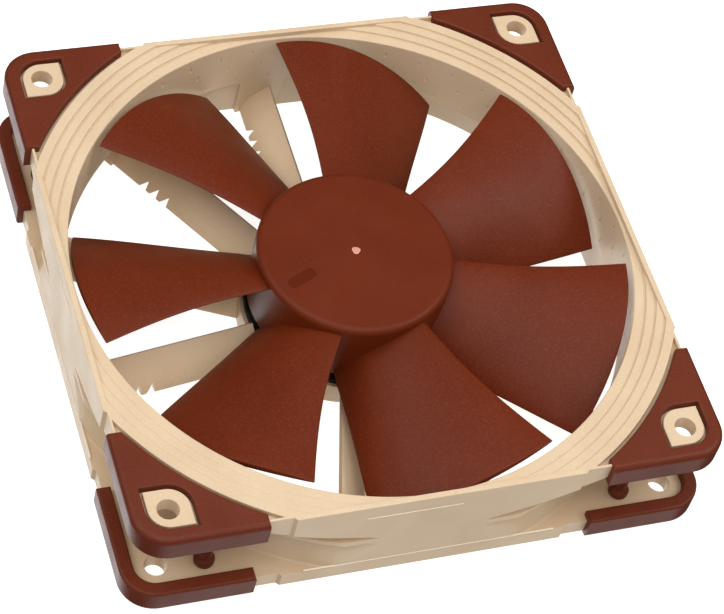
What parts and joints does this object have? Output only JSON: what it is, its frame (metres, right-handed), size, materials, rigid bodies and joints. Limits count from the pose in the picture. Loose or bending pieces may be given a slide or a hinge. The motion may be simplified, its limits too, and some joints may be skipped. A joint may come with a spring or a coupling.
{
  "type": "case fan",
  "caption": "Square axial case fan with a bladed impeller, swept guide vanes, a stepped inlet ring and soft pads on its corners.",
  "frame": {"origin": "on the rotor axis, in the outlet face of the corner pads, which the fan rests on", "axes": "+Z along the rotor axis from the outlet to the intake side with the hub cap, +X along the near side to the right, +Y away from the near side"},
  "size_m": [0.12, 0.12, 0.025],
  "materials": {
    "frame_plastic": "fine matt moulding texture",
    "impeller_plastic": "satin with a fine grain",
    "pad_rubber": "soft matt rubber",
    "brass": "turned",
    "bronze": "sintered, oily",
    "seal_rubber": "smooth",
    "ivory_plastic": "smooth moulding",
    "lamination_steel": "stacked sheet edges",
    "copper_wire": "enamelled wire turns",
    "solder": "bright",
    "board": "black solder mask",
    "black_plastic": "moulded epoxy",
    "ceramic": "fired ceramic",
    "label": "plain printed film, no text",
    "yoke_steel": "drawn sheet, plated",
    "ferrite": "pressed ferrite",
    "shaft_steel": "ground and polished"
  },
  "bodies": {
    "frame_body": {"frame": "frame_plastic", "intake_pad_front_left": "pad_rubber", "intake_pad_front_right": "pad_rubber", "intake_pad_rear_right": "pad_rubber", "intake_pad_rear_left": "pad_rubber", "outlet_pad_front_left": "pad_rubber", "outlet_pad_front_right": "pad_rubber", "outlet_pad_rear_right": "pad_rubber", "outlet_pad_rear_left": "pad_rubber", "bearing_tube": "brass", "sleeve_bearing": "bronze", "oil_seal": "seal_rubber", "thrust_plate": "ivory_plastic", "rear_cap": "brass", "stator_core": "lamination_steel", "upper_insulator": "ivory_plastic", "lower_insulator": "ivory_plastic", "coil_1": "copper_wire", "coil_2": "copper_wire", "coil_3": "copper_wire", "coil_4": "copper_wire", "winding_pins": "solder", "circuit_board": "board", "driver_chip": "black_plastic", "hall_sensor": "black_plastic", "capacitor": "ceramic", "resistors": "black_plastic", "solder_pads": "solder", "rear_label": "label"},
    "rotor": {"impeller": "impeller_plastic", "rotor_yoke": "yoke_steel", "ring_magnet": "ferrite", "rotor_boss": "brass", "shaft": "shaft_steel", "retaining_clip": "yoke_steel"}
  },
  "joints": [
    {"name": "rotor_spin", "type": "hinge", "parent": "frame_body", "child": "rotor", "pos_m": [0, 0, 0], "axis": [0, 0, 1], "continuous": true}
  ]
}
